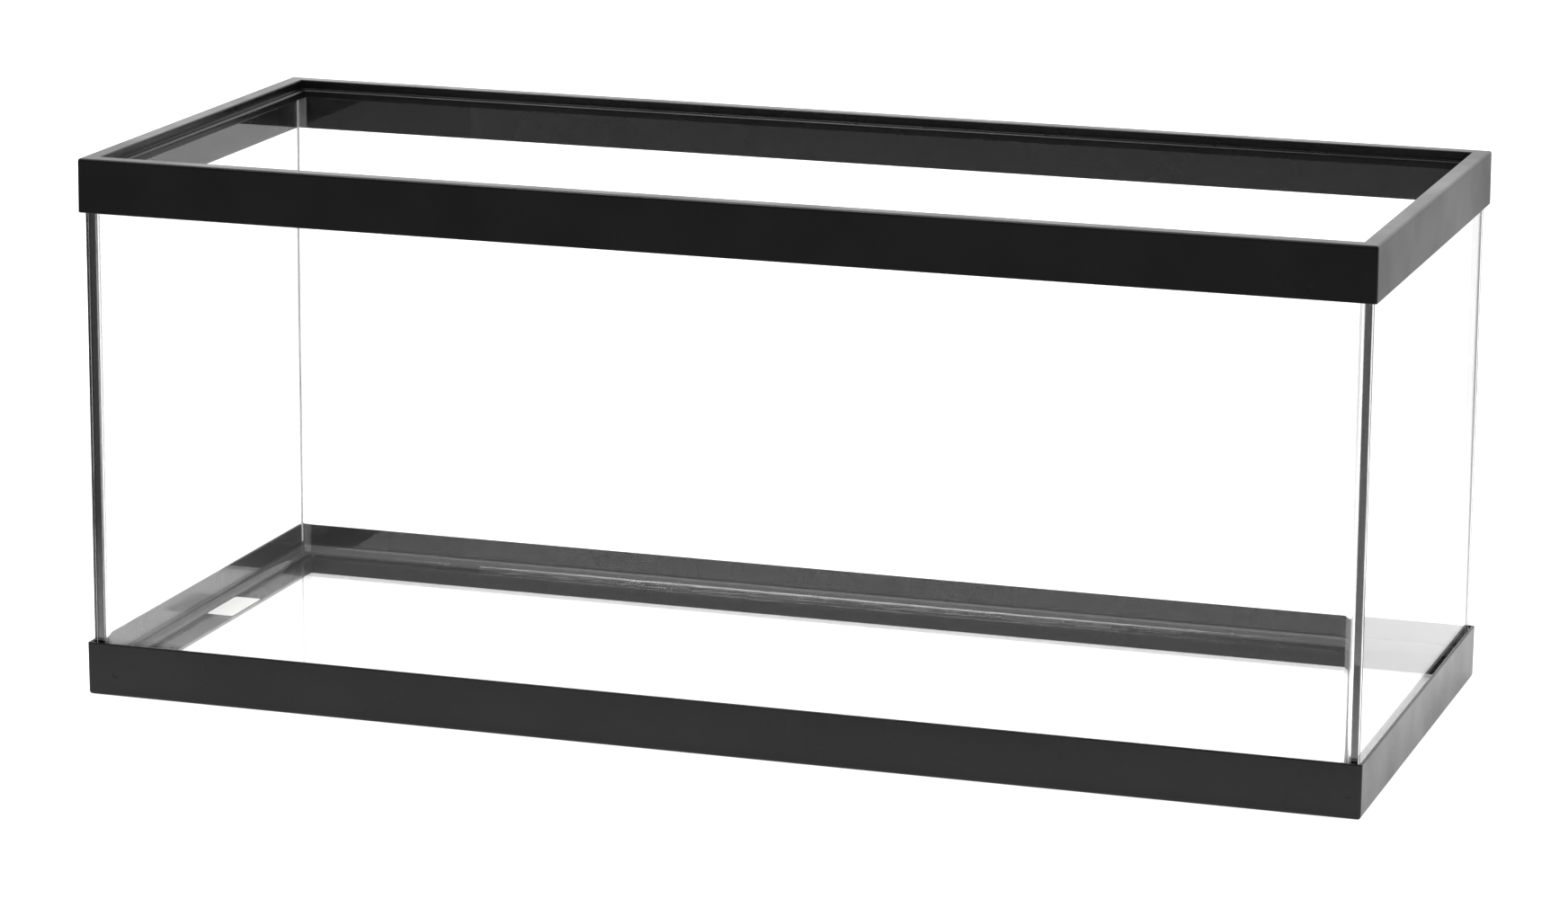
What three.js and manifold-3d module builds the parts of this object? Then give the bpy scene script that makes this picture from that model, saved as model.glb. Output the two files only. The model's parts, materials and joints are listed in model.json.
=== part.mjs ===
// Framed glass aquarium tank, 768 x 316 x 322 mm, without a lid.
//
// Four glass walls stand between two one-piece plastic mouldings. The front and back panes run
// the full length and the side panes fit between them. The base pane floats inside the walls, on
// a shelf of the bottom frame. Silicone holds it all: a thin bond fills each joint between two
// panes, a fillet bead seals each inner corner, and a bed of sealant lies in each frame channel.
//
// Millimetres. +X runs along the tank, -Y is the front and +Z is up. The origin is the middle of
// the face that the tank stands on.

import * as THREE from 'three';
import { mergeVertices } from 'three/addons/utils/BufferGeometryUtils.js';
import Module from 'manifold-3d';

// Overall size
const LENGTH = 768;
const WIDTH = 316;
const HEIGHT = 322;

// Glass and silicone
const GLASS = 4.75;
const GLASS_INSET = 3.25;
const ARRIS = 0.5;
const BOND = 0.5;
const CORNER_BEAD_LEG = 5;
const BASE_BEAD_LEG = 5;
const BEAD_ARC_STEPS = 8;
const SEALANT_BED = 1;
const SEALANT_CLEARANCE = 0.25;
const SEALANT_SQUEEZE_OUT = 19.75;

// Frame mouldings, which share the skirt
const SKIRT_HEIGHT = 32;
const SKIRT_WALL = 2;
const DRAFT = 0.25;
const CHANNEL_WEB = 2.5;
const CHANNEL_INNER_SIDE = 8.5;
const FRAME_CORNER_RADIUS = 1.5;
const TIGHTEST_CORNER_RADIUS = 0.5;
const FRAME_CORNER_STEPS = 6;
const ROUND_STEPS = 4;
const MOULD_EDGE = 0.25;
const SKIRT_LIP_ROUND = 0.75;

// Top frame
const RIM_WIDTH = 10.5;
const RIM_OUTER_ROUND = 1.75;
const RIM_INNER_ROUND = 1;
const LEDGE_DROP = 5.5;
const LEDGE_WIDTH = 5;
const LEDGE_THICKNESS = 2;
const LIP_DROP = 4.75;
const LIP_WALL = 1.75;
const LIP_ROUND = 1.5;

// Bottom frame
const FOOT_ROUND = 2.5;
const UPRIGHT_INNER_SIDE = 10.5;
const SHELF_INNER_SIDE = 17;
const SHELF_HEIGHT = 10;
const SHELF_THICKNESS = 2;
const SHELF_ROUND = 0.75;

// Round marks that the moulds leave on the front faces of the frames
const MARK_RADIUS = 1.75;
const MARK_DEPTH = 0.3;
const TOP_FRAME_MARKS = [{ x: 347, z: 296 }];
const BOTTOM_FRAME_MARKS = [{ x: -366, z: 13.5 }, { x: 377, z: 14 }];

// Blank label on the base pane, beside the left wall
const LABEL = { length: 43.5, width: 17, thickness: 0.25, fromWall: 5, y: 8.5 };

// Levels and faces that follow from these
const GLASS_BOTTOM = CHANNEL_WEB + SEALANT_BED;
const GLASS_TOP = HEIGHT - GLASS_BOTTOM;
const GLASS_HEIGHT = GLASS_TOP - GLASS_BOTTOM;
const SEALANT_OUTSIDE = SKIRT_WALL + SEALANT_CLEARANCE;
const BASE_TOP = SHELF_HEIGHT + GLASS;
const LEDGE_TOP = HEIGHT - LEDGE_DROP;
const LEDGE_INNER_SIDE = RIM_WIDTH + LEDGE_WIDTH;
const LIP_BOTTOM = LEDGE_TOP - LIP_DROP;
const OUTER_X = LENGTH / 2 - GLASS_INSET;
const OUTER_Y = WIDTH / 2 - GLASS_INSET;
const INNER_X = OUTER_X - GLASS;
const INNER_Y = OUTER_Y - GLASS;

const glassLook = { color: 0xdde8e4, roughness: 0.05, metalness: 0, transparent: true, opacity: 0.35 };
const plasticLook = { color: 0x26282a, roughness: 0.45, metalness: 0 };
const siliconeLook = { color: 0xd9dcda, roughness: 0.35, metalness: 0, transparent: true, opacity: 0.7 };
const sealantLook = { color: 0x1b1c1d, roughness: 0.5, metalness: 0 };
const labelLook = { color: 0xf2f2ee, roughness: 0.8, metalness: 0 };

const tank = new THREE.Group();
tank.name = 'glass_aquarium_tank';

function addPart(name, geometry, look, position = [0, 0, 0]) {
  const mesh = new THREE.Mesh(geometry, new THREE.MeshStandardMaterial(look));
  mesh.name = name;
  mesh.position.set(...position);
  tank.add(mesh);
  return mesh;
}

// ---------------------------------------------------------------- profiles and sweeps

function pointTowards(from, to, distance) {
  return to.clone().sub(from).setLength(distance).add(from);
}

// Turns a list of corners, each [inset, height, round], into the points of a closed outline.
function profilePoints(corners) {
  const points = corners.map(([inset, height]) => new THREE.Vector2(inset, height));
  const outline = [];
  corners.forEach(([, , round = 0], i) => {
    const corner = points[i];
    if (round === 0) {
      outline.push(corner);
      return;
    }
    const start = pointTowards(corner, points.at(i - 1), round);
    const end = pointTowards(corner, points[(i + 1) % points.length], round);
    outline.push(...new THREE.QuadraticBezierCurve(start, corner, end).getPoints(ROUND_STEPS));
  });
  return outline;
}

// The rounded rectangle that lies `inset` inside the outer face of the frames.
function loopAtInset(inset, height) {
  const radius = Math.max(FRAME_CORNER_RADIUS - inset, TIGHTEST_CORNER_RADIUS);
  const centreX = LENGTH / 2 - inset - radius;
  const centreY = WIDTH / 2 - inset - radius;
  const loop = [];
  [[1, 1], [-1, 1], [-1, -1], [1, -1]].forEach(([signX, signY], quarter) => {
    for (let step = 0; step <= FRAME_CORNER_STEPS; step++) {
      const angle = (quarter + step / FRAME_CORNER_STEPS) * Math.PI / 2;
      loop.push(new THREE.Vector3(
        signX * centreX + radius * Math.cos(angle),
        signY * centreY + radius * Math.sin(angle),
        height,
      ));
    }
  });
  return loop;
}

// Carries a closed profile round the tank. Profile corners go anticlockwise when inset runs to
// the right and height runs up.
function sweepRoundTank(corners) {
  const loops = profilePoints(corners).map(({ x, y }) => loopAtInset(x, y));
  const around = loops[0].length;
  const indices = [];
  loops.forEach((_, i) => {
    const here = i * around;
    const next = ((i + 1) % loops.length) * around;
    for (let j = 0; j < around; j++) {
      const beside = (j + 1) % around;
      indices.push(here + j, next + j, here + beside);
      indices.push(here + beside, next + j, next + beside);
    }
  });
  const geometry = new THREE.BufferGeometry().setFromPoints(loops.flat());
  geometry.setIndex(indices);
  geometry.computeVertexNormals();
  return geometry;
}

// ---------------------------------------------------------------- cutting

const wasm = await Module();
wasm.setup();

function toSolid(geometry) {
  const bare = geometry.clone();
  bare.deleteAttribute('normal');
  bare.deleteAttribute('uv');
  const merged = mergeVertices(bare);
  return new wasm.Manifold(new wasm.Mesh({
    numProp: 3,
    vertProperties: new Float32Array(merged.attributes.position.array),
    triVerts: new Uint32Array(merged.index.array),
  }));
}

function toGeometry(solid) {
  const mesh = solid.getMesh();
  const geometry = new THREE.BufferGeometry();
  geometry.setAttribute('position', new THREE.BufferAttribute(mesh.vertProperties, 3));
  geometry.setIndex(new THREE.BufferAttribute(mesh.triVerts, 1));
  geometry.computeVertexNormals();
  return geometry;
}

// Sinks a shallow round mark into the front face at each place.
function markFrontFace(geometry, places) {
  const cutterLength = 2;
  let solid = toSolid(geometry);
  for (const { x, z } of places) {
    const cutter = new THREE.CylinderGeometry(MARK_RADIUS, MARK_RADIUS, cutterLength, 24);
    cutter.translate(x, -WIDTH / 2 + MARK_DEPTH - cutterLength / 2, z);
    solid = solid.subtract(toSolid(cutter));
  }
  return toGeometry(solid);
}

// ---------------------------------------------------------------- frames

function addTopFrame() {
  const profile = [
    [0, HEIGHT - SKIRT_HEIGHT, SKIRT_LIP_ROUND],
    [SKIRT_WALL, HEIGHT - SKIRT_HEIGHT, SKIRT_LIP_ROUND],
    [SKIRT_WALL, HEIGHT - CHANNEL_WEB],
    [CHANNEL_INNER_SIDE, HEIGHT - CHANNEL_WEB],
    [CHANNEL_INNER_SIDE, LEDGE_TOP - LEDGE_THICKNESS],
    [LEDGE_INNER_SIDE - LIP_WALL, LEDGE_TOP - LEDGE_THICKNESS],
    [LEDGE_INNER_SIDE - LIP_WALL, LIP_BOTTOM, MOULD_EDGE],
    [LEDGE_INNER_SIDE, LIP_BOTTOM, MOULD_EDGE],
    [LEDGE_INNER_SIDE, LEDGE_TOP, LIP_ROUND],
    [RIM_WIDTH, LEDGE_TOP, MOULD_EDGE],
    [RIM_WIDTH, HEIGHT, RIM_INNER_ROUND],
    [DRAFT, HEIGHT, RIM_OUTER_ROUND],
  ];
  addPart('top_frame', markFrontFace(sweepRoundTank(profile), TOP_FRAME_MARKS), plasticLook);
}

function addBottomFrame() {
  const profile = [
    [0, SKIRT_HEIGHT, SKIRT_LIP_ROUND],
    [DRAFT, 0, FOOT_ROUND],
    [UPRIGHT_INNER_SIDE, 0, MOULD_EDGE],
    [UPRIGHT_INNER_SIDE, SHELF_HEIGHT - SHELF_THICKNESS],
    [SHELF_INNER_SIDE - SHELF_THICKNESS, SHELF_HEIGHT - SHELF_THICKNESS],
    [SHELF_INNER_SIDE - SHELF_THICKNESS, 0, MOULD_EDGE],
    [SHELF_INNER_SIDE, 0, MOULD_EDGE],
    [SHELF_INNER_SIDE, SHELF_HEIGHT, SHELF_ROUND],
    [CHANNEL_INNER_SIDE, SHELF_HEIGHT],
    [CHANNEL_INNER_SIDE, CHANNEL_WEB],
    [SKIRT_WALL, CHANNEL_WEB],
    [SKIRT_WALL, SKIRT_HEIGHT, SKIRT_LIP_ROUND],
  ];
  addPart('bottom_frame', markFrontFace(sweepRoundTank(profile), BOTTOM_FRAME_MARKS), plasticLook);
}

// The walls' edges bear on a flat bed of sealant that fills the end of each channel.
function addTopSealant() {
  const inside = GLASS_INSET + GLASS;
  const profile = [
    [SEALANT_OUTSIDE, GLASS_TOP],
    [inside, GLASS_TOP],
    [inside, GLASS_TOP + SEALANT_BED],
    [SEALANT_OUTSIDE, GLASS_TOP + SEALANT_BED],
  ];
  addPart('top_frame_sealant', sweepRoundTank(profile), sealantLook);
}

// At the bottom some sealant is squeezed out of the bed and stands up outside the walls.
function addBottomSealant() {
  const inside = GLASS_INSET + GLASS;
  const profile = [
    [SEALANT_OUTSIDE, GLASS_BOTTOM - SEALANT_BED],
    [inside, GLASS_BOTTOM - SEALANT_BED],
    [inside, GLASS_BOTTOM],
    [GLASS_INSET, GLASS_BOTTOM],
    [GLASS_INSET, SEALANT_SQUEEZE_OUT],
    [SEALANT_OUTSIDE, SEALANT_SQUEEZE_OUT],
  ];
  addPart('bottom_frame_sealant', sweepRoundTank(profile), sealantLook);
}

// ---------------------------------------------------------------- glass

// A pane of cut glass that lies flat, centred on the origin, with an arris ground on its edges.
function pane(width, height) {
  const outline = new THREE.Shape();
  outline.moveTo(-width / 2, -height / 2);
  outline.lineTo(width / 2, -height / 2);
  outline.lineTo(width / 2, height / 2);
  outline.lineTo(-width / 2, height / 2);
  const geometry = new THREE.ExtrudeGeometry(outline, {
    depth: GLASS - 2 * ARRIS,
    bevelThickness: ARRIS,
    bevelSize: ARRIS,
    bevelOffset: -ARRIS,
    bevelSegments: 1,
  });
  return geometry.translate(0, 0, ARRIS - GLASS / 2);
}

function addPanes() {
  const midHeight = (GLASS_BOTTOM + GLASS_TOP) / 2;
  for (const [name, side] of [['front_pane', -1], ['back_pane', 1]]) {
    const geometry = pane(2 * OUTER_X, GLASS_HEIGHT).rotateX(Math.PI / 2);
    addPart(name, geometry, glassLook, [0, side * (OUTER_Y - GLASS / 2), midHeight]);
  }
  for (const [name, side] of [['left_pane', -1], ['right_pane', 1]]) {
    const geometry = pane(GLASS_HEIGHT, 2 * (INNER_Y - BOND)).rotateY(Math.PI / 2);
    addPart(name, geometry, glassLook, [side * (OUTER_X - GLASS / 2), 0, midHeight]);
  }
  const base = pane(2 * (INNER_X - BOND), 2 * (INNER_Y - BOND));
  addPart('base_pane', base, glassLook, [0, 0, SHELF_HEIGHT + GLASS / 2]);
}

// ---------------------------------------------------------------- silicone

function block(minimum, maximum) {
  const low = new THREE.Vector3(...minimum);
  const high = new THREE.Vector3(...maximum);
  const size = high.clone().sub(low);
  const middle = low.clone().add(high).divideScalar(2);
  return new THREE.BoxGeometry(size.x, size.y, size.z).translate(middle.x, middle.y, middle.z);
}

// The shape between two faces that meet at the origin and a round tool drawn along them.
function beadSection(leg) {
  const section = new THREE.Shape();
  section.moveTo(0, 0);
  section.lineTo(leg, 0);
  section.absarc(leg, leg, leg, -Math.PI / 2, -Math.PI, true);
  section.lineTo(0, 0);
  return section;
}

function bead(leg, length) {
  return new THREE.ExtrudeGeometry(beadSection(leg), {
    depth: length,
    bevelEnabled: false,
    curveSegments: BEAD_ARC_STEPS,
  });
}

const cornersOfTank = [
  { name: 'front_left', signX: -1, signY: -1, turn: 0 },
  { name: 'front_right', signX: 1, signY: -1, turn: Math.PI / 2 },
  { name: 'back_right', signX: 1, signY: 1, turn: Math.PI },
  { name: 'back_left', signX: -1, signY: 1, turn: -Math.PI / 2 },
];

// The bond between the edge of each side pane and the face of the front or back pane.
function addCornerBonds() {
  for (const { name, signX, signY } of cornersOfTank) {
    const strip = block([0, 0, GLASS_BOTTOM], [GLASS, BOND, GLASS_TOP]);
    const x = signX > 0 ? INNER_X : -OUTER_X;
    const y = signY > 0 ? INNER_Y - BOND : -INNER_Y;
    addPart(`${name}_corner_bond`, strip, siliconeLook, [x, y, 0]);
  }
}

// The fillet bead up each inner corner, from the base pane to the lip of the top frame.
function addCornerBeads() {
  for (const { name, signX, signY, turn } of cornersOfTank) {
    const geometry = bead(CORNER_BEAD_LEG, LIP_BOTTOM - BASE_TOP).rotateZ(turn);
    const place = [signX * INNER_X, signY * INNER_Y, BASE_TOP];
    addPart(`${name}_corner_bead`, geometry, siliconeLook, place);
  }
}

// The bond between each edge of the base pane and the wall beside it.
function addBaseBonds() {
  for (const [name, side] of [['front', -1], ['back', 1]]) {
    const strip = block([-INNER_X, -BOND / 2, SHELF_HEIGHT], [INNER_X, BOND / 2, BASE_TOP]);
    addPart(`${name}_base_bond`, strip, siliconeLook, [0, side * (INNER_Y - BOND / 2), 0]);
  }
  for (const [name, side] of [['left', -1], ['right', 1]]) {
    const end = INNER_Y - BOND;
    const strip = block([-BOND / 2, -end, SHELF_HEIGHT], [BOND / 2, end, BASE_TOP]);
    addPart(`${name}_base_bond`, strip, siliconeLook, [side * (INNER_X - BOND / 2), 0, 0]);
  }
}

// The fillet bead along each wall on the base pane, between the corner beads.
function addBaseBeads() {
  const sides = [
    { name: 'front', halfLength: INNER_X, distance: INNER_Y, turn: 0 },
    { name: 'right', halfLength: INNER_Y, distance: INNER_X, turn: Math.PI / 2 },
    { name: 'back', halfLength: INNER_X, distance: INNER_Y, turn: Math.PI },
    { name: 'left', halfLength: INNER_Y, distance: INNER_X, turn: -Math.PI / 2 },
  ];
  for (const { name, halfLength, distance, turn } of sides) {
    const length = 2 * (halfLength - CORNER_BEAD_LEG);
    const geometry = bead(BASE_BEAD_LEG, length)
      .rotateX(Math.PI / 2)
      .rotateZ(Math.PI / 2)
      .translate(-length / 2, -distance, BASE_TOP)
      .rotateZ(turn);
    addPart(`${name}_base_bead`, geometry, siliconeLook);
  }
}

function addLabel() {
  const { length, width, thickness, fromWall, y } = LABEL;
  const left = -INNER_X + fromWall;
  const geometry = block([left, y - length / 2, 0], [left + width, y + length / 2, thickness]);
  addPart('blank_label', geometry, labelLook, [0, 0, BASE_TOP]);
}

addPanes();
addTopFrame();
addBottomFrame();
addTopSealant();
addBottomSealant();
addCornerBonds();
addCornerBeads();
addBaseBonds();
addBaseBeads();
addLabel();

export default tank;
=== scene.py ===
"""Looks for the framed glass aquarium tank: its materials, silicone, label, light and camera.

The CAD mouldings and panes keep their shape and get their materials here. The silicone and the
label are rebuilt as finer pieces round the CAD's places: silicone that touches glass has to share
its surface with it, as wet-applied sealant does, or the joint would mirror instead of clear.
"""
import json
import math

import bmesh
import bpy
from mathutils import Matrix, Vector, noise


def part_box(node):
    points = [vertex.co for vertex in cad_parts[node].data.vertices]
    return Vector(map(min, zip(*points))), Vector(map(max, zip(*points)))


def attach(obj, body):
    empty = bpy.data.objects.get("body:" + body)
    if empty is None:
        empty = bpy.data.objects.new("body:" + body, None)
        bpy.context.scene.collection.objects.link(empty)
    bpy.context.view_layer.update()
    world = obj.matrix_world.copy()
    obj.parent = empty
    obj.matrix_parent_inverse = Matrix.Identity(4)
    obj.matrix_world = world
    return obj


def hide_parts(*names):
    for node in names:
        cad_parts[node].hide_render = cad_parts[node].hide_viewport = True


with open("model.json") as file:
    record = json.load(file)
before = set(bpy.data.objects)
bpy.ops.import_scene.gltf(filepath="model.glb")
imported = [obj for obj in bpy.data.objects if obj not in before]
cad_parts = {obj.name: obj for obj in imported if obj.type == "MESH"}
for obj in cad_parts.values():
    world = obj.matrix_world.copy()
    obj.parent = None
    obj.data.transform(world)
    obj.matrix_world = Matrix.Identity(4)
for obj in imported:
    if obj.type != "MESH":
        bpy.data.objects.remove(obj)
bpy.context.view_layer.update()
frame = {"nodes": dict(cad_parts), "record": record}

MM = 0.001

# Camera
CAMERA_PLACE = Vector((0.9802, -3.0040, 0.8820))
CAMERA_PITCH_DOWN = math.radians(13.133)
CAMERA_YAW_LEFT = math.radians(18.124)
CAMERA_ROLL = math.radians(0.419)
CAMERA_LENS = 125.8

# Silicone
CONTACT = 0.05 * MM        # how far silicone reaches into the glass that it wets
BEAD_VARIATION = 0.015     # how much a hand-tooled bead's size wanders, as a share of its leg
BEAD_MILKINESS = 0.06      # how much of a bead's light is scattered instead of let through
BEAD_STEP = 6 * MM
BEAD_ARC_POINTS = 13
ARRIS = 0.5 * MM           # ground off the panes' edges
LEDGE_DEPTH = 4 * MM       # how far the lid ledge's underside lies below the panes' top edge

# Label
LABEL_CORNER_RADIUS = 1.5 * MM
LABEL_CORNER_STEPS = 4
LABEL_THICKNESS = 0.12 * MM

# Stage
FLOOR_HALF_SIZE = 30
FLOOR_LEVEL = -0.2 * MM


# ---------------------------------------------------------------- materials

def node_material(name):
    """A new node material, its tree and its Principled node."""
    material = bpy.data.materials.new(name)
    material.use_nodes = True
    return material, material.node_tree, material.node_tree.nodes["Principled BSDF"]


def noise_texture(tree, scale, detail=2.0, stretch=(1, 1, 1)):
    """Noise in object space, in cycles per metre, so that its size is real."""
    place = tree.nodes.new("ShaderNodeTexCoord")
    mapping = tree.nodes.new("ShaderNodeMapping")
    mapping.inputs["Scale"].default_value = stretch
    texture = tree.nodes.new("ShaderNodeTexNoise")
    texture.inputs["Scale"].default_value = scale
    texture.inputs["Detail"].default_value = detail
    tree.links.new(place.outputs["Object"], mapping.inputs["Vector"])
    tree.links.new(mapping.outputs["Vector"], texture.inputs["Vector"])
    return texture.outputs["Fac"]


def remap(tree, value, low, high, start=0.3, end=0.7):
    """Maps a noise value from start..end to low..high."""
    node = tree.nodes.new("ShaderNodeMapRange")
    node.inputs["From Min"].default_value = start
    node.inputs["From Max"].default_value = end
    node.inputs["To Min"].default_value = low
    node.inputs["To Max"].default_value = high
    tree.links.new(value, node.inputs["Value"])
    return node.outputs["Result"]


def bump(tree, height, distance, under=None):
    """Normals of a surface that rises by distance as height goes from 0 to 1."""
    node = tree.nodes.new("ShaderNodeBump")
    node.inputs["Distance"].default_value = distance
    tree.links.new(height, node.inputs["Height"])
    if under is not None:
        tree.links.new(under, node.inputs["Normal"])
    return node.outputs["Normal"]


def maths(tree, operation, first, second=0.0):
    """A maths node. Each operand is a number or another node's output."""
    node = tree.nodes.new("ShaderNodeMath")
    node.operation = operation
    for socket, operand in zip(node.inputs, (first, second)):
        if isinstance(operand, float):
            socket.default_value = operand
        else:
            tree.links.new(operand, socket)
    return node.outputs["Value"]


def object_coordinates(tree):
    """The X, Y and Z outputs of the place in object space."""
    place = tree.nodes.new("ShaderNodeTexCoord")
    split = tree.nodes.new("ShaderNodeSeparateXYZ")
    tree.links.new(place.outputs["Object"], split.inputs["Vector"])
    return split.outputs["X"], split.outputs["Y"], split.outputs["Z"]


def mixed_colour(tree, value, first, second):
    """Goes from the first colour to the second as a noise value goes from 0.3 to 0.7."""
    ramp = tree.nodes.new("ShaderNodeValToRGB")
    ramp.color_ramp.elements[0].position = 0.3
    ramp.color_ramp.elements[0].color = (*first, 1)
    ramp.color_ramp.elements[1].position = 0.7
    ramp.color_ramp.elements[1].color = (*second, 1)
    tree.links.new(value, ramp.inputs["Fac"])
    return ramp.outputs["Color"]


def let_lamp_light_through(tree, shader, tint):
    """Shadow and diffuse rays pass straight through, dimmed as the clear material dims them."""
    path = tree.nodes.new("ShaderNodeLightPath")
    either = maths(tree, "MAXIMUM", path.outputs["Is Shadow Ray"], path.outputs["Is Diffuse Ray"])
    clear = tree.nodes.new("ShaderNodeBsdfTransparent")
    clear.inputs["Color"].default_value = (*tint, 1)
    mix = tree.nodes.new("ShaderNodeMixShader")
    output = tree.nodes["Material Output"]
    tree.links.new(either, mix.inputs["Fac"])
    tree.links.new(shader.outputs["BSDF"], mix.inputs[1])
    tree.links.new(clear.outputs["BSDF"], mix.inputs[2])
    tree.links.new(mix.outputs["Shader"], output.inputs["Surface"])


def glass_material():
    material, tree, shader = node_material("float_glass")
    shader.inputs["Base Color"].default_value = (1, 1, 1, 1)
    shader.inputs["Transmission Weight"].default_value = 1.0
    shader.inputs["IOR"].default_value = 1.52
    haze = noise_texture(tree, 9, 3)
    tree.links.new(remap(tree, haze, 0.0, 0.006, 0.5, 0.75), shader.inputs["Roughness"])
    ripple = noise_texture(tree, 5, 1)
    tree.links.new(bump(tree, ripple, 0.02 * MM), shader.inputs["Normal"])
    absorption = tree.nodes.new("ShaderNodeVolumeAbsorption")
    absorption.inputs["Color"].default_value = (0.30, 0.30, 0.30, 1)
    absorption.inputs["Density"].default_value = 10.4
    tree.links.new(absorption.outputs["Volume"], tree.nodes["Material Output"].inputs["Volume"])
    let_lamp_light_through(tree, shader, (0.96, 0.96, 0.96))
    return material


def plastic_material():
    material, tree, shader = node_material("moulded_black_plastic")
    shader.inputs["IOR"].default_value = 1.5
    shader.inputs["Specular IOR Level"].default_value = 0.3
    cloud = noise_texture(tree, 22, 4)
    tree.links.new(
        mixed_colour(tree, cloud, (0.0030, 0.0030, 0.0031), (0.0050, 0.0050, 0.0052)),
        shader.inputs["Base Color"],
    )
    wear = noise_texture(tree, 14, 3)
    tree.links.new(remap(tree, wear, 0.18, 0.34), shader.inputs["Roughness"])
    softened = tree.nodes.new("ShaderNodeBevel")
    softened.samples = 4
    softened.inputs["Radius"].default_value = 0.8 * MM
    flow = noise_texture(tree, 13, 1, (1, 1, 0.6))
    waviness = bump(tree, flow, 0.2 * MM, under=softened.outputs["Normal"])
    tree.links.new(waviness, shader.inputs["Normal"])
    return material


def silicone_material():
    """Clear silicone. The beads inside the tank are slightly milky, the thin bonds are not."""
    material, tree, shader = node_material("clear_silicone")
    shader.inputs["Base Color"].default_value = (0.95, 0.95, 0.95, 1)
    shader.inputs["IOR"].default_value = 1.41
    x, _, z = object_coordinates(tree)
    between_ends = maths(tree, "LESS_THAN", maths(tree, "ABSOLUTE", x), INNER_X)
    above_base = maths(tree, "GREATER_THAN", z, BASE_TOP)
    in_bead = maths(tree, "MULTIPLY", between_ends, above_base)
    clearness = remap(tree, in_bead, 1.0, 1.0 - BEAD_MILKINESS, 0.0, 1.0)
    tree.links.new(clearness, shader.inputs["Transmission Weight"])
    cloud = noise_texture(tree, 40, 1)
    tree.links.new(remap(tree, cloud, 0.01, 0.04), shader.inputs["Roughness"])
    skin = bump(tree, noise_texture(tree, 40, 1), 0.01 * MM)
    tree.links.new(skin, shader.inputs["Normal"])
    let_lamp_light_through(tree, shader, (0.92, 0.92, 0.92))
    return material


def sealant_material():
    material, tree, shader = node_material("frame_sealant")
    shader.inputs["IOR"].default_value = 1.41
    cloud = noise_texture(tree, 120, 3)
    tree.links.new(
        mixed_colour(tree, cloud, (0.010, 0.010, 0.010), (0.022, 0.022, 0.022)),
        shader.inputs["Base Color"],
    )
    tree.links.new(remap(tree, cloud, 0.35, 0.5), shader.inputs["Roughness"])
    return material


def paper_material():
    material, tree, shader = node_material("label_paper")
    fibres = noise_texture(tree, 900, 5)
    tree.links.new(
        mixed_colour(tree, fibres, (0.86, 0.86, 0.85), (0.93, 0.93, 0.92)),
        shader.inputs["Base Color"],
    )
    tree.links.new(remap(tree, fibres, 0.55, 0.75), shader.inputs["Roughness"])
    tree.links.new(bump(tree, fibres, 0.03 * MM), shader.inputs["Normal"])
    return material


# ---------------------------------------------------------------- mesh helpers

def add_object(name, mesh):
    thing = bpy.data.objects.new(name, mesh)
    bpy.context.scene.collection.objects.link(thing)
    return thing


def loft(name, rings, closed, material):
    """A closed body through rings of points that all have the same length. Unless the rings close
    on each other, both ends are capped."""
    bm = bmesh.new()
    rows = [[bm.verts.new(point) for point in ring] for ring in rings]
    count = len(rows[0])
    spans = len(rows) if closed else len(rows) - 1
    for i in range(spans):
        here, after = rows[i], rows[(i + 1) % len(rows)]
        for j in range(count):
            k = (j + 1) % count
            bm.faces.new((here[j], here[k], after[k], after[j]))
    if not closed:
        bm.faces.new(list(reversed(rows[0])))
        bm.faces.new(rows[-1])
    bmesh.ops.recalc_face_normals(bm, faces=bm.faces)
    mesh = bpy.data.meshes.new(name)
    bm.to_mesh(mesh)
    bm.free()
    for polygon in mesh.polygons:
        polygon.use_smooth = True
    mesh.set_sharp_from_angle(angle=math.radians(40))
    mesh.materials.append(material)
    return add_object(name, mesh)


def steps_between(start, end, step):
    count = max(1, round((end - start) / step))
    return [start + (end - start) * i / count for i in range(count + 1)]


def wander(distance, seed):
    """A smooth value around 1 that says how the bead's size changes along it."""
    place = Vector((distance * 8, seed * 7.3, 0.5))
    return 1 + BEAD_VARIATION * noise.fractal(place, 1.0, 2.0, 2)


def hollow_arc(leg_a, leg_b):
    """The bead's hollow face, from (leg_a, 0) to (0, leg_b)."""
    angles = [math.pi / 2 * i / (BEAD_ARC_POINTS - 1) for i in range(BEAD_ARC_POINTS)]
    return [(leg_a * (1 - math.sin(a)), leg_b * (1 - math.cos(a))) for a in angles]


# ---------------------------------------------------------------- silicone

INNER_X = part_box("right_pane")[0].x
INNER_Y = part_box("back_pane")[0].y
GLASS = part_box("right_pane")[1].x - INNER_X
BOND = INNER_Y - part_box("right_pane")[1].y
GLASS_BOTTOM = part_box("front_pane")[0].z
GLASS_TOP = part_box("front_pane")[1].z
BASE_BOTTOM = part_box("base_pane")[0].z
BASE_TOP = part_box("base_pane")[1].z
LEDGE_UNDERSIDE = GLASS_TOP - LEDGE_DEPTH
TANK_CORNERS = [("front_left", -1, -1), ("front_right", 1, -1), ("back_right", 1, 1), ("back_left", -1, 1)]


def corner_section(leg_a, leg_b):
    """Bond and bead of one corner. a runs inwards along the long pane, b along the side pane, and
    both start at the inner corner of the walls. Clockwise from the bond's outer end."""
    return [
        (-GLASS + ARRIS / 2, -CONTACT),
        (leg_a, -CONTACT),
        *hollow_arc(leg_a, leg_b),
        (-CONTACT, leg_b),
        (-CONTACT, BOND + ARRIS),
        (-ARRIS, BOND + CONTACT),
        (-GLASS + ARRIS, BOND + CONTACT),
    ]


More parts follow.
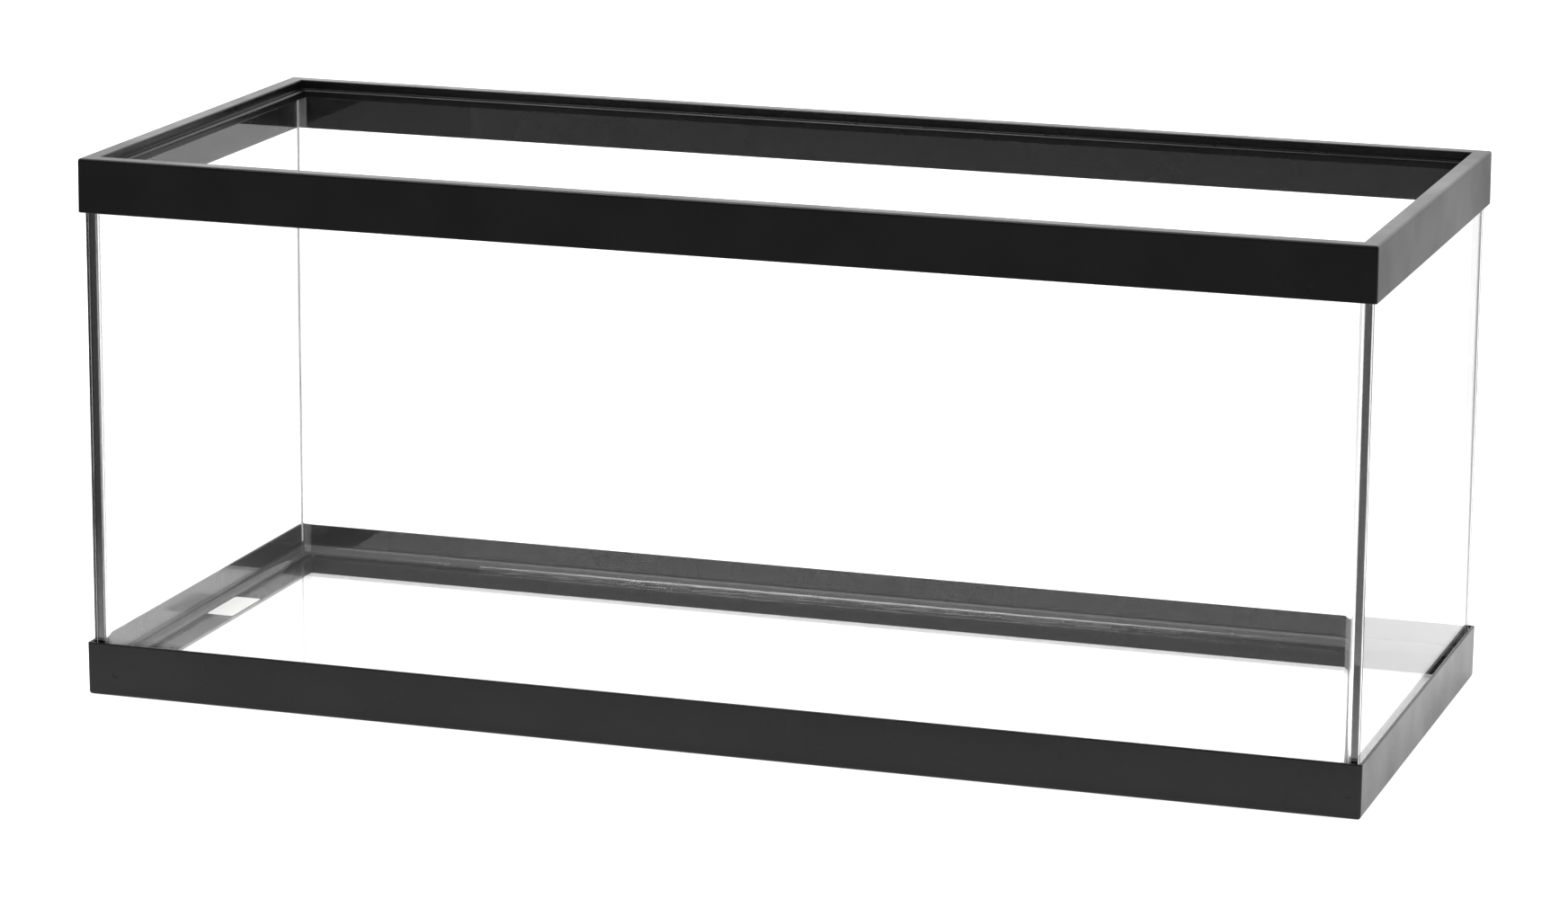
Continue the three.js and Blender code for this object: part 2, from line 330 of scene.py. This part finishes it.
def add_corner_seal(name, sign_x, sign_y, seed, material):
    leg = (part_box(f"{name}_corner_bead")[1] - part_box(f"{name}_corner_bead")[0]).x
    hidden_leg = BOND + ARRIS + CONTACT
    rings = []
    for height in steps_between(GLASS_BOTTOM, GLASS_TOP, BEAD_STEP):
        bare = height < BASE_TOP or height > LEDGE_UNDERSIDE
        leg_a = hidden_leg if bare else leg * wander(height, seed)
        leg_b = hidden_leg if bare else leg * wander(height, seed + 1)
        rings.append([
            Vector((sign_x * (INNER_X - a), sign_y * (INNER_Y - b), height))
            for a, b in corner_section(leg_a, leg_b)
        ])
    seal = loft(f"{name}_corner_seal", rings, False, material)
    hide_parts(f"{name}_corner_bead", f"{name}_corner_bond")
    return seal


def base_section(leg_a, leg_b):
    """Bond and bead along one wall. a runs inwards from the wall, b up from the base pane's top."""
    bottom = BASE_BOTTOM - BASE_TOP
    return [
        (-CONTACT, bottom + ARRIS / 2),
        (BOND, bottom + ARRIS / 2),
        (BOND + CONTACT, bottom + ARRIS),
        (BOND + CONTACT, -ARRIS),
        (BOND + ARRIS, -CONTACT),
        (leg_a, -CONTACT),
        *hollow_arc(leg_a, leg_b),
        (-CONTACT, leg_b),
    ]


def add_base_seal(material):
    """One run of silicone round the whole base, as it is laid from a gun."""
    leg = (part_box("front_base_bead")[1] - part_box("front_base_bead")[0]).z
    corners = [(-1, -1), (1, -1), (1, 1), (-1, 1)]
    rings = []
    for side, (start_x, start_y) in enumerate(corners):
        end_x, end_y = corners[(side + 1) % len(corners)]
        length = 2 * (INNER_X if start_y == end_y else INNER_Y)
        for along in steps_between(0, length, BEAD_STEP)[:-1]:
            share = along / length
            place_x = start_x + (end_x - start_x) * share
            place_y = start_y + (end_y - start_y) * share
            leg_a = leg * wander(along, 20 + side)
            leg_b = leg * wander(along, 30 + side)
            rings.append([
                Vector((place_x * (INNER_X - a), place_y * (INNER_Y - a), BASE_TOP + b))
                for a, b in base_section(leg_a, leg_b)
            ])
    seal = loft("base_seal", rings, True, material)
    sides = ("front", "back", "left", "right")
    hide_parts(*(f"{side}_base_{part}" for side in sides for part in ("bead", "bond")))
    return seal


# ---------------------------------------------------------------- label

def label_outline(low, high):
    """Points round the label, with round corners, anticlockwise from above."""
    radius = LABEL_CORNER_RADIUS
    corners = [(high.x, high.y), (low.x, high.y), (low.x, low.y), (high.x, low.y)]
    points = []
    for quarter, (x, y) in enumerate(corners):
        centre_x = x - radius if x == high.x else x + radius
        centre_y = y - radius if y == high.y else y + radius
        for step in range(LABEL_CORNER_STEPS + 1):
            angle = (quarter + step / LABEL_CORNER_STEPS) * math.pi / 2
            points.append((centre_x + radius * math.cos(angle), centre_y + radius * math.sin(angle)))
    return points


def add_label(material):
    """A stuck-down paper label with a slight wave."""
    low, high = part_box("blank_label")
    bm = bmesh.new()
    face = bm.faces.new([bm.verts.new((x, y, low.z)) for x, y in label_outline(low, high)])
    bmesh.ops.triangulate(bm, faces=[face])
    bmesh.ops.subdivide_edges(bm, edges=bm.edges, cuts=5, use_grid_fill=True)
    lift = high.z - low.z - LABEL_THICKNESS
    for vert in bm.verts:
        vert.co.z = low.z + lift * (0.5 + 0.5 * noise.noise(vert.co * 90))
    mesh = bpy.data.meshes.new("paper_label")
    bm.to_mesh(mesh)
    bm.free()
    mesh.materials.append(material)
    label = add_object("paper_label", mesh)
    thicken = label.modifiers.new("thickness", "SOLIDIFY")
    thicken.thickness = LABEL_THICKNESS
    thicken.offset = 1
    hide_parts("blank_label")
    return label


# ---------------------------------------------------------------- stage

def is_tank_reflection(tree):
    """1 once a ray has bounced off something shiny, however it goes on from there."""
    path = tree.nodes.new("ShaderNodeLightPath")
    return maths(tree, "GREATER_THAN", path.outputs["Glossy Depth"], 0.5)


def mixed_value(tree, factor, first, second):
    """The number first where factor is 0, and the node output second where it is 1."""
    mix = tree.nodes.new("ShaderNodeMix")
    mix.inputs["A"].default_value = first
    tree.links.new(factor, mix.inputs["Factor"])
    tree.links.new(second, mix.inputs["B"])
    return mix.outputs["Result"]


def floor_material():
    """White paint, lit evenly from all round and glowing evenly too, so that it stays white. What the tank
    mirrors of it
    has painted shade: darker towards the front, where the room is, and a little darker far behind."""
    material, tree, shader = node_material("floor_paint")
    shader.inputs["Base Color"].default_value = (0.62, 0.62, 0.62, 1)
    shader.inputs["Roughness"].default_value = 0.9
    shader.inputs["Specular IOR Level"].default_value = 0.0
    shader.inputs["Emission Color"].default_value = (1, 1, 1, 1)
    shader.inputs["Emission Strength"].default_value = 0.9
    # Black that the floor's mirrored image is painted with, as painted shade
    painted_shade_black = tree.nodes.new("ShaderNodeEmission")
    painted_shade_black.inputs["Strength"].default_value = 0.0
    _, y, _ = object_coordinates(tree)
    # Painted shade, only where the tank mirrors the floor: darker towards the front and far behind,
    # standing in for the dim room
    in_front = remap(tree, y, 0.82, 0.05, -0.55, -0.18)
    far_behind = remap(tree, y, 0.0, 0.40, 0.3, 0.9)
    painted_reflection_shade = maths(tree, "ADD", in_front, far_behind)
    mix = tree.nodes.new("ShaderNodeMixShader")
    tree.links.new(mixed_value(tree, is_tank_reflection(tree), 0.0, painted_reflection_shade), mix.inputs["Fac"])
    tree.links.new(shader.outputs["BSDF"], mix.inputs[1])
    tree.links.new(painted_shade_black.outputs["Emission"], mix.inputs[2])
    tree.links.new(mix.outputs["Shader"], tree.nodes["Material Output"].inputs["Surface"])
    return material


def add_floor():
    size = FLOOR_HALF_SIZE
    corners = [(-size, -size), (size, -size), (size, size), (-size, size)]
    mesh = bpy.data.meshes.new("floor")
    mesh.from_pydata([(x, y, FLOOR_LEVEL) for x, y in corners], [], [(0, 1, 2, 3)])
    mesh.materials.append(floor_material())
    add_object("floor", mesh)


def add_world():
    """A white studio. What the tank mirrors of it is darker towards the front too."""
    world = bpy.data.worlds.new("studio")
    bpy.context.scene.world = world
    world.use_nodes = True
    tree = world.node_tree
    background = tree.nodes["Background"]
    background.inputs["Color"].default_value = (1, 1, 1, 1)
    place = tree.nodes.new("ShaderNodeTexCoord")
    split = tree.nodes.new("ShaderNodeSeparateXYZ")
    tree.links.new(place.outputs["Generated"], split.inputs["Vector"])
    mirrored = remap(tree, split.outputs["Y"], 0.08, 1.3, -0.3, 0.3)
    strength = mixed_value(tree, is_tank_reflection(tree), 1.16, mirrored)
    tree.links.new(strength, background.inputs["Strength"])


def add_softbox(name, place, size, power):
    """A square lamp that faces the origin."""
    light = bpy.data.lights.new(name, "AREA")
    light.shape = "SQUARE"
    light.size = size
    light.energy = power
    box = bpy.data.objects.new(name, light)
    box.location = place
    box.rotation_euler = (-Vector(place)).to_track_quat("-Z", "Y").to_euler()
    bpy.context.scene.collection.objects.link(box)


def add_camera():
    forward = Vector((
        -math.sin(CAMERA_YAW_LEFT) * math.cos(CAMERA_PITCH_DOWN),
        math.cos(CAMERA_YAW_LEFT) * math.cos(CAMERA_PITCH_DOWN),
        -math.sin(CAMERA_PITCH_DOWN),
    ))
    right = forward.cross(Vector((0, 0, 1))).normalized()
    up = right.cross(forward)
    turn = Matrix.Rotation(-CAMERA_ROLL, 3, forward)
    axes = Matrix((turn @ right, turn @ up, -forward)).transposed()
    data = bpy.data.cameras.new("camera")
    data.lens = CAMERA_LENS
    data.sensor_width = 36
    data.clip_end = 100
    camera = bpy.data.objects.new("camera", data)
    camera.matrix_world = Matrix.Translation(CAMERA_PLACE) @ axes.to_4x4()
    bpy.context.scene.collection.objects.link(camera)
    bpy.context.scene.camera = camera


def set_up_view():
    scene = bpy.context.scene
    scene.view_settings.view_transform = "Standard"
    scene.view_settings.look = "None"
    scene.cycles.max_bounces = 40
    scene.cycles.transmission_bounces = 40
    scene.cycles.glossy_bounces = 16
    scene.cycles.transparent_max_bounces = 40


# ---------------------------------------------------------------- assembly

def dress_cad_nodes(looks):
    """Gives each CAD node that stays in sight its material, by the record's slots."""
    slots = {part["node"]: part["material_slot"] for part in frame["record"]["subparts"]}
    for name, thing in frame["nodes"].items():
        thing.data.materials.clear()
        thing.data.materials.append(looks[slots[name]])


def main():
    silicone = silicone_material()
    paper = paper_material()
    dress_cad_nodes({
        "glass": glass_material(),
        "frame_plastic": plastic_material(),
        "sealant": sealant_material(),
        "silicone": silicone,
        "label_paper": paper,
    })
    seals = [
        add_corner_seal(name, sign_x, sign_y, 3 * i, silicone)
        for i, (name, sign_x, sign_y) in enumerate(TANK_CORNERS)
    ]
    seals.append(add_base_seal(silicone))
    for seal in seals:
        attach(seal, "root")
    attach(add_label(paper), "root")
    add_floor()
    add_world()
    add_softbox("overhead_softbox", (-0.8, -0.3, 2.6), 0.8, 30)
    add_camera()
    set_up_view()


main()
bpy.context.view_layer.update()
